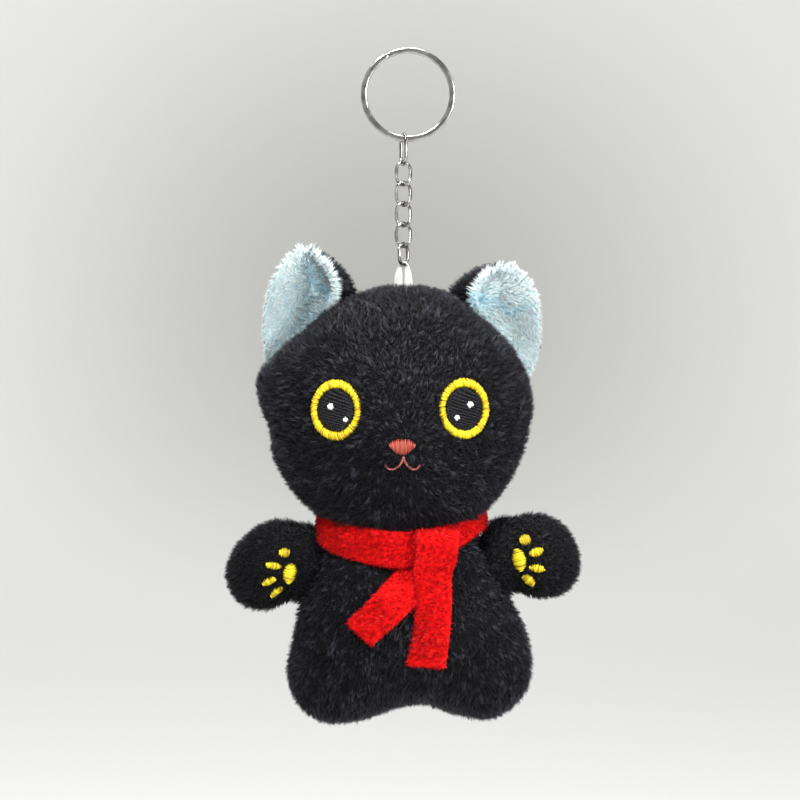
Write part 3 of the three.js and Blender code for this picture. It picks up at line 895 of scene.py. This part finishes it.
def chin(points):
    """The head sags forward and down over the neck, and its left cheek is drawn in."""
    low = ease(points[:, 2], -126, -148)
    front = ease(points[:, 1], 2, -9)
    moved = points.copy()
    moved[:, 0] += (HEAD_X - moved[:, 0]) * CHIN_NARROWS * low
    moved[:, 1] -= CHIN_FORWARD * low * front
    moved[:, 2] -= CHIN_DOWN * low
    cheek = np.exp(-((points[:, 2] - CHEEK_Z) / CHEEK_SPREAD) ** 2)
    moved[:, 0] += CHEEK_IN * cheek * ease(points[:, 0], -30, -44)
    return moved


def head():
    obj = cover("head_cover", "head", [TEMPLE], shaped=chin)
    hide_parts("head_front", "head_back")
    fibre = stuffing("head", None)
    embroider_face(Surface(obj))
    naps = head_nap, swirl((0, 0, -1), amount=0.8, scale=21, seed=8)
    hair = half_piles(obj, "head", naps, clear_of(["eye_left_ring", "eye_right_ring", "nose"], 0.1), 51)
    bend([obj, *hair], "torso", "head", *CHIN_BLEND, "black_plush")
    bend([fibre], "torso", "head", *CHIN_BLEND, "fibre_stuffing")


# The neck, as a centre and radii, and where it goes over from the head to the torso
NECK = ((-2.3, 0, -154), (22.5, 15.5, 9.5))
NECK_BLEND = ((-2.6, 0, -147), (-2.6, 0, -160))


def body():
    """The body, and its surface for the scarf to lie on."""
    obj = cover("body_cover", "body", [NECK])
    stuffing("body", "torso")
    naps = [swirl((0, 0, -1), amount=0.7, scale=17, seed=seed) for seed in (61, 62)]
    # The body's pile takes slightly paler shades than the head's: painted light on the body
    hair = half_piles(obj, "body", naps, None, 61, lift=0.06)
    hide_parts("body_front", "body_back")
    bend([obj, *hair], "head", "torso", *NECK_BLEND, "black_plush")
    return Surface(obj)


def joint_place(name):
    return np.array(next(j for j in frame["joints"] if j["name"] == name)["pos_m"]) / MM


SHOULDER_BULGE = (6, 7, 10.5)


def arm(side):
    pivot = joint_place(f"arm_{side}_fold")
    outwards = -1 if side == "left" else 1
    bulge = (pivot + np.array((outwards * 1.0, 0, 0)), SHOULDER_BULGE)
    obj = cover(f"arm_{side}_cover", f"arm_{side}", [bulge], stand=FABRIC_STAND + 0.1, cap=1.0)
    stuffing(f"arm_{side}", f"arm_{side}")
    embroider_paw(Surface(obj), side)
    paw = [f"paw_{side}_toe_{i}" for i in range(1, 5)] + [f"paw_{side}_pad"]
    nap = swirl((outwards, 0, -0.2), amount=0.5, scale=13, seed=70)
    # The arms' pile takes darker shades than the head's and body's: painted shade, for the shade the arms are
    # in
    hair = black_pile(f"arm_{side}_pile", obj, nap, clear_of(paw, 0.05), 71 if side == "left" else 72,
                      lift=-0.34)
    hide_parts(f"arm_{side}_front", f"arm_{side}_back")
    away = np.array((outwards, 0, 0))
    bend([obj, hair], "torso", f"arm_{side}", pivot - away * 3.0, pivot + away * 5.0, "black_plush")


# ---- ears

# Curves up each ear to its tip: its outer edge, hollow, the back's far side, and the rim curled forward
EARS = {
    "left": (
        [(-43.4, 0.5, -104.5), (-45.4, -1, -98), (-46.3, -2, -88.5), (-45, -2.5, -77.5), (-40.6, -2, -68),
         (-34.6, -1, -62.4)],
        [(-33, 4, -94.5), (-34.5, 5.5, -90), (-34, 6.5, -83), (-32.5, 6, -76), (-31.6, 3.5, -68.5),
         (-31.8, -0.2, -62.4)],
        [(-16.6, 1, -84), (-16.4, 1.5, -79.6), (-18.2, 1.5, -75), (-21.4, 1, -70.2), (-26.6, 0.5, -65.8),
         (-31.4, 0, -62.6)],
        [(-26, -2.5, -87), (-24.9, -5, -81), (-23.6, -7, -75.8), (-25.4, -6.5, -70.6), (-28.8, -4, -66.2),
         (-32.4, -1, -62.8)],
    ),
    "right": (
        [(36, 0.5, -107), (39.6, -1, -101.5), (42.1, -2, -93.5), (42.1, -2.5, -83), (39.2, -2, -73.6),
         (33, -1, -68)],
        [(26, 4, -93.5), (30, 5.5, -92), (31, 6.5, -86.5), (30, 6, -79.6), (29.2, 3.5, -73.2),
         (29.4, -0.2, -68.6)],
        [(10.8, 1, -84), (11.6, 1.5, -80.8), (13.2, 1.5, -77.2), (17, 1, -73.4), (22, 0.5, -70),
         (28, 0, -68.2)],
        [(22.8, -2.5, -88), (22.1, -5, -82.8), (21.2, -7, -78.4), (23.2, -6.5, -74), (26.4, -4, -70.8),
         (30, -1, -68.8)],
    ),
}
EAR_ROWS = 20
EAR_COLUMNS = 26
EAR_LAYER = 0.55
TIP_GAP = 0.02
EAR_UPWARD = {"left": (-0.69, 0, 0.72), "right": (0.73, 0, 0.68)}


def ear_grid(curves):
    """Rows of points across the ear, from its outer edge through the hollow and round to the rim."""
    lines = [smooth_line(curve, EAR_ROWS) for curve in curves]
    return np.array([smooth_line([line[row] for line in lines], EAR_COLUMNS) for row in range(EAR_ROWS)])


def ear_layer(name, grid, offset):
    """One cloth layer of an ear, made solid to one side, with its tip drawn together."""
    obj = thicken(grid_piece(name, grid), EAR_LAYER, offset)
    mesh = bmesh.new()
    mesh.from_mesh(obj.data)
    bmesh.ops.remove_doubles(mesh, verts=mesh.verts, dist=TIP_GAP * MM)
    bmesh.ops.recalc_face_normals(mesh, faces=mesh.faces)
    mesh.to_mesh(obj.data)
    mesh.free()
    return subdivide(obj)


def ear(side):
    grid = ear_grid(EARS[side])
    mirrored = side == "right"
    seam = joint_place(f"ear_{side}_fold")
    upward = np.array(EAR_UPWARD[side])
    for layer, base, slot in (("inner", BLUE_BASE, "blue_plush"), ("outer", BLACK_BASE, "black_plush")):
        offset = (1 if layer == "inner" else -1) * (-1 if mirrored else 1)
        obj = dress(ear_layer(f"ear_{side}_{layer}_cloth", grid, offset), base)
        facing = one_side(grid, layer == "inner", mirrored)
        if layer == "inner":
            hair = pile(f"ear_{side}_inner_pile", obj, BLUE_PILE, ear_nap(side), ear_shade(side), facing, 81,
                        per_mm2=13, length=2.8, radius=0.105, lean=1.2, tuft=5, gather=0.42, spread=0.13,
                        tuft_spread=0.2)
        else:
            hair = pile(f"ear_{side}_outer_pile", obj, BLACK_PILE, swirl((0, 1, 0), 0.4, 9, 83),
                        streaky(82, 7), facing, 82, length=1.8)
        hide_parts(f"ear_{side}_{layer}")
        bend([obj, hair], "head", f"ear_{side}", seam - upward * 1.5, seam + upward * 4, slot)


def one_side(grid, inner, mirrored):
    """Keeps the strands on the side of an ear's layer that shows, and stands them up from it.

    The inner layer's strands also turn to the front, and those by the rim make a fringe along its edge.
    """
    normals = np.cross(np.gradient(grid, axis=1), np.gradient(grid, axis=0)).reshape(-1, 3)
    normals = unit(normals) * (-1 if mirrored else 1) * (1 if inner else -1)
    flat = grid.reshape(-1, 3)
    tree = tree_of(flat)

    def keep(points, facing):
        near = np.array([[i for _, i, _ in tree.find_n(p, 4)] for p in points])
        upright = unit(normals[near].mean(axis=1))
        stand = ((points - flat[near[:, 0]]) * upright).sum(axis=1)
        kept = stand > EAR_LAYER * 0.3
        if inner:
            turned_away = np.clip(-upright[:, 1:2] * 1.5, 0, 1)
            upright = unit(upright * 0.45 + turned_away * np.array((0, -0.6, 0)))
            row, column = np.divmod(near[:, 0], grid.shape[1])
            at_rim = column > grid.shape[1] - 3
            points = points.copy()
            jitter = np.random.default_rng(86).uniform(-RIM_SPREAD, RIM_SPREAD, size=(at_rim.sum(), 3))
            points[at_rim] = grid[row[at_rim], -1] + jitter
            upright[at_rim] = unit(np.array([[-0.2 if mirrored else 0.2, -0.9, 0.25]]))
        return points[kept], upright[kept]
    return keep


# Where the pile parts on each ear, as (x, z) from the base to the tip
PARTINGS = {
    "left": [(-38.5, -105), (-38.3, -95), (-36.7, -81), (-31, -75), (-31.5, -68), (-33, -62)],
    "right": [(33, -107), (30, -98), (23, -88), (21, -82), (24, -75), (28, -68)],
}
# The crease across each ear, as (x, z), where the pile gets a painted shade
CREASES = {
    "left": [(-32, -68), (-29.6, -74), (-26.4, -77.5), (-27.3, -82), (-31, -86)],
    "right": [(19.5, -80.5), (24, -79), (27.5, -79.4), (31.5, -82), (38, -81)],
}
# How far the painted shade reaches out from the crease
CREASE_REACH = 1.7
# How far the rim's fringe is spread about its edge
RIM_SPREAD = 0.9
# How steeply the pile falls down each ear
EAR_FALL = {"left": 0.55, "right": 0.95}


def from_parting(side, points):
    """How far points are to the right of an ear's parting, and how far above its end at the tip."""
    parting = np.array(PARTINGS[side])
    x, z = points[:, 0], points[:, 2]
    return x - np.interp(z, parting[:, 1], parting[:, 0]), z - parting[-1, 1]


def ear_nap(side):
    """Pile combed away from the parting to both edges, down the ear's sides and up at its tip."""
    fall = EAR_FALL[side]

    def nap(points, normals):
        out, above = from_parting(side, points)
        rise = np.clip((above + 16) / 14, 0, 1)
        outwards = np.clip(out / 1.5, -1, 1)
        steep = np.clip(np.abs(normals[:, 0]) * 3 - 1.05, 0, 1)
        upwards = rise * (1.1 + fall) - fall + 1.3 * steep
        way = np.stack([outwards * (1 - 0.3 * rise), 0 * out, upwards], axis=1)
        return way + 0.35 * swirl((0, 0, 0), 1, 6, 84)(points, normals)
    return nap


def distance_to(line, flat):
    """How far points lie from a line of straight pieces."""
    nearest = np.full(len(flat), np.inf)
    for start, end in zip(line[:-1], line[1:]):
        piece = end - start
        along = np.clip((flat - start) @ piece / (piece @ piece), 0, 1)
        apart = np.linalg.norm(flat - start - along[:, None] * piece, axis=1)
        nearest = np.minimum(nearest, apart)
    return nearest


def ear_shade(side):
    """Palest at the tip and the edges and bluer beside the parting; in the crease, painted shade makes it
    darker and bluer.
    """
    crease = np.array(CREASES[side], float)

    def shade(points, rng):
        out, above = from_parting(side, points)
        out = np.clip(np.abs(out) / 8, 0, 1)
        high = np.clip((above + 13) / 8, 0, 1)
        # Painted shade along the crease: the pile there takes darker, bluer shades
        folded = np.exp(-(distance_to(crease, points[:, [0, 2]]) / CREASE_REACH) ** 2)
        tone = 0.7 + 0.24 * out ** 2 + 0.3 * high - 0.45 * folded + 0.1 * wave_noise(points, 6, 85)
        return tone + rng.normal(size=len(points)) * 0.2
    return shade


# ---- scarf

RIBBON_THICKNESS = 1.0
STRIP_COLUMNS = 7
# Round the band: its lower edge in front, from the left side to the right, and its height there
BAND_FRONT = [(-1, -155.4, 9), (-0.83, -159.6, 10.6), (-0.46, -162.6, 11.4), (-0.08, -164.4, 11.6),
              (0.28, -163.4, 11), (0.7, -157.6, 8.2), (0.94, -153.2, 7.2), (1, -152, 7)]
BAND_BACK_LOW = -160.5
BAND_BACK_HEIGHT = 12
BAND_SIDE_HEIGHT = 8.5
BAND_FLARE = 1.2
BAND_COLUMNS = 90
BAND_ROWS = 8


def neck_band():
    """One turn round the neck, wider in front, with its nap."""
    low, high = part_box("scarf_neck_band")
    centre_x = (low.x + high.x) / 2 / MM
    radius_x = (high.x - low.x) / 2 / MM - 0.9
    radius_y = (high.y - low.y) / 2 / MM - 1.2
    angles = np.arange(BAND_COLUMNS) * 2 * math.pi / BAND_COLUMNS
    across, ahead = np.cos(angles), -np.sin(angles)
    keys = np.array(BAND_FRONT)
    bottom = np.interp(across, keys[:, 0], keys[:, 1])
    height = np.interp(across, keys[:, 0], keys[:, 2])
    behind = ahead < 0
    ends = np.where(across < 0, keys[0, 1], keys[-1, 1])
    bottom = np.where(behind, ends + (BAND_BACK_LOW - ends) * ahead ** 2, bottom)
    height = np.where(behind, BAND_SIDE_HEIGHT + (BAND_BACK_HEIGHT - BAND_SIDE_HEIGHT) * ahead ** 2, height)
    for _ in range(3):
        bottom, height = ((np.roll(line, 1) + 2 * line + np.roll(line, -1)) / 4 for line in (bottom, height))
    grid = []
    for row in range(BAND_ROWS):
        share = row / (BAND_ROWS - 1)
        inset = BAND_FLARE * (share - 0.5) * np.where(behind, 0.4, 1)
        crease = 0.3 * np.sin(angles * 9 + row * 0.4) * np.sin(angles * 2 + 1)
        grid.append(np.stack([
            centre_x + (radius_x - inset + crease) * across,
            -(radius_y - inset + crease) * ahead,
            bottom + share * height,
        ], axis=1))
    # The band's nap takes darker shades than the tails': painted shade, for the chin's shadow on it
    return ribbon(grid_piece("neck_band", grid, closed=True), 91, lift=-0.22)


def ribbon(obj, seed, lift=0.0):
    """Gives a scarf strip its thickness, cloth and nap; returns the strip and its nap."""
    dress(subdivide(thicken(obj, RIBBON_THICKNESS)), RED_BASE)
    hair = pile(f"{obj.name}_nap", obj, RED_PILE, swirl((-1, 0, -0.3), 0.8, 7, seed),
                streaky(seed, 4, lift - 0.05), None, seed, per_mm2=11, length=1.35, radius=0.085, lean=0.9,
                tuft=6)
    return obj, hair


# The front tail: up behind the neck band, folded over it, then down the belly; its widths are by height
FRONT_TAIL_LINE = [(9.6, -19.4, -158), (9.5, -19.6, -155), (9.4, -21.6, -152.8), (9.3, -24, -153.8),
                   (9.1, -24.9, -157.5), (8.5, -24.6, -162), (7.7, -24.2, -166), (8, -23.8, -175),
                   (7, -23.4, -186), (5.5, -23, -195)]
FRONT_TAIL_WIDTHS = [(-195, 12.3), (-186, 11.8), (-176, 11.2), (-168, 11.6), (-165.5, 12.2), (-163, 13),
                     (-150, 13.2)]


def front_tail():
    keys = np.array(FRONT_TAIL_WIDTHS)
    grid = []
    for centre in smooth_line(FRONT_TAIL_LINE, 44):
        z = centre[2]
        across = np.array((1, 0.06 * math.sin(z / 4), -0.09 * ease(z, -170, -193) - 0.01))
        across /= np.linalg.norm(across)
        grid.append(row_across(centre, across, np.interp(z, keys[:, 0], keys[:, 1]), STRIP_COLUMNS))
    return ribbon(grid_piece("front_tail", grid, flipped=True), 93)


# The side tail, from under the front tail out over the belly: its long edges, as (x, z)
SIDE_TAIL_UPPER = [(4, -158.5), (-4, -164.7), (-12, -173), (-19.9, -181.3)]
SIDE_TAIL_LOWER = [(11.5, -168), (2.6, -176.9), (-4, -182.9), (-10.8, -189.3)]
SIDE_TAIL_STAND = 1.9


def side_tail(surface):
    """The side tail, laid a little above the belly."""
    grid = []
    for index, (a, b) in enumerate(zip(smooth_line(SIDE_TAIL_UPPER, 26), smooth_line(SIDE_TAIL_LOWER, 26))):
        row = [a + (b - a) * k / (STRIP_COLUMNS - 1) for k in range(STRIP_COLUMNS)]
        grid.append(surface.over(np.array(row), SIDE_TAIL_STAND + 0.25 * math.sin(index * 0.5)))
    return ribbon(smooth(grid_piece("side_tail", grid, flipped=True), 6), 94)


def hang_tail(tail, nap, body, away, reaches):
    """Bakes a scarf tail and its nap in place through bend, given their joint and a way that leads down the
    tail.
    """
    hinge = joint_place(f"{body}_lift")
    away = np.array(away)
    bend([tail, nap], "torso", body, hinge - away * reaches[0], hinge + away * reaches[1], "red_plush")


def scarf(belly):
    band, nap = neck_band()
    stand_for(band, "torso", ["scarf_neck_band"])
    stand_for(nap, "torso", [])
    tail, nap = front_tail()
    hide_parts("scarf_front_tail", "scarf_knot")
    hang_tail(tail, nap, "scarf_front_tail", (0, 0, -1), (1.5, 4))
    tail, nap = side_tail(belly)
    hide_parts("scarf_side_tail")
    hang_tail(tail, nap, "scarf_side_tail", (-0.95, 0, -0.31), (1.5, 3))


# ---- stage, lights and camera

# The paint, in metres: where its painted shadow is, how far out it grows pale, and how far the ramp goes
PAINTED_SHADOW_SPOT = (-0.01, 1.7, -0.05)
PALE_FROM = 0.5
PALE_TO = 1.2
PAINT_REACH = 1.7
# The darkest paint, at the spot: a painted soft shadow of the object on the wall
PAINTED_SHADOW_PAINT = (0.39, 0.39, 0.374, 1)
PALE_PAINT = (0.65, 0.654, 0.644, 1)
FAR_PAINT = (0.5, 0.5, 0.495, 1)


def wall_paint():
    """Matt pale paint, with a painted soft shadow on the wall behind the object, and softly darker in the
    rest of the room.
    """
    mat = material("pale_wall", (0.8, 0.8, 0.8), roughness=0.95, specular=0.1)
    links = mat.node_tree.links
    place = node(mat, "ShaderNodeTexCoord")
    apart = node(mat, "ShaderNodeVectorMath", operation="DISTANCE")
    apart.inputs[1].default_value = PAINTED_SHADOW_SPOT
    links.new(place.outputs["Object"], apart.inputs[0])
    spread = node(mat, "ShaderNodeMapRange", **{"From Max": PAINT_REACH})
    links.new(apart.outputs["Value"], spread.inputs["Value"])
    ramp = node(mat, "ShaderNodeValToRGB")
    ramp.color_ramp.interpolation = "EASE"
    ramp.color_ramp.elements[0].color = PAINTED_SHADOW_PAINT
    ramp.color_ramp.elements[1].color = FAR_PAINT
    for reach in PALE_FROM, PALE_TO:
        ramp.color_ramp.elements.new(reach / PAINT_REACH).color = PALE_PAINT
    links.new(spread.outputs["Result"], ramp.inputs["Fac"])
    links.new(ramp.outputs["Color"], mat.node_tree.nodes["Principled BSDF"].inputs["Base Color"])
    return mat


# The room's floor and wall from the middle outwards, as (radius, height)
ROOM_PROFILE = [(0, -330), (500, -330), (900, -320), (1250, -280), (1500, -190), (1650, -20), (1740, 300),
                (1780, 800), (1790, 1500)]
ROOM_RINGS = 40
ROOM_SIDES = 96
ROOM_HOLE = 0.5


def stage():
    """A pale round room: a floor that curves up into a wall."""
    rings = []
    for radius, z in smooth_line(ROOM_PROFILE, ROOM_RINGS):
        radius = max(radius, ROOM_HOLE)
        angles = [2 * math.pi * k / ROOM_SIDES for k in range(ROOM_SIDES)]
        rings.append([(radius * math.cos(angle), radius * math.sin(angle), z) for angle in angles])
    dress(grid_piece("pale_room", rings, closed=True), wall_paint())


def area_light(name, place, aim, size, watts):
    light = bpy.data.lights.new(name, "AREA")
    light.shape = "DISK"
    light.size = size * MM
    light.energy = watts
    obj = link_object(name, light)
    obj.location = Vector(place) * MM
    obj.rotation_euler = (Vector(aim) - Vector(place)).to_track_quat("-Z", "Y").to_euler()


WORLD_STRENGTH = 0.38


def lights():
    area_light("key_light", (-380, -820, 760), CAMERA_AIM, size=320, watts=14.5)
    area_light("top_light", (120, -220, 900), CAMERA_AIM, size=420, watts=8)
    area_light("fill_light", (760, -800, 60), CAMERA_AIM, size=400, watts=10.5)
    area_light("wall_light", (-200, 350, 1150), (-250, 1700, -150), size=900, watts=11.5)
    world = bpy.data.worlds.new("soft_daylight")
    world.use_nodes = True
    sky = world.node_tree.nodes["Background"]
    sky.inputs["Color"].default_value = (1, 1, 1, 1)
    sky.inputs["Strength"].default_value = WORLD_STRENGTH
    SCENE.world = world


def camera():
    data = bpy.data.cameras.new("camera")
    data.sensor_width = SENSOR
    data.lens = SENSOR * CAMERA_DISTANCE / VIEW_WIDTH
    data.clip_start, data.clip_end = 0.05, 10
    obj = link_object("camera", data)
    aim = Vector(CAMERA_AIM) * MM
    obj.location = aim + Vector((0, -CAMERA_DISTANCE * MM, 0))
    obj.rotation_euler = (aim - obj.location).to_track_quat("-Z", "Y").to_euler()
    SCENE.camera = obj


SCENE.view_settings.view_transform = "Standard"
camera()
stage()
lights()
metalwork()
ribbon_loop()
head()
belly = body()
for side in ("left", "right"):
    arm(side)
    ear(side)
scarf(belly)
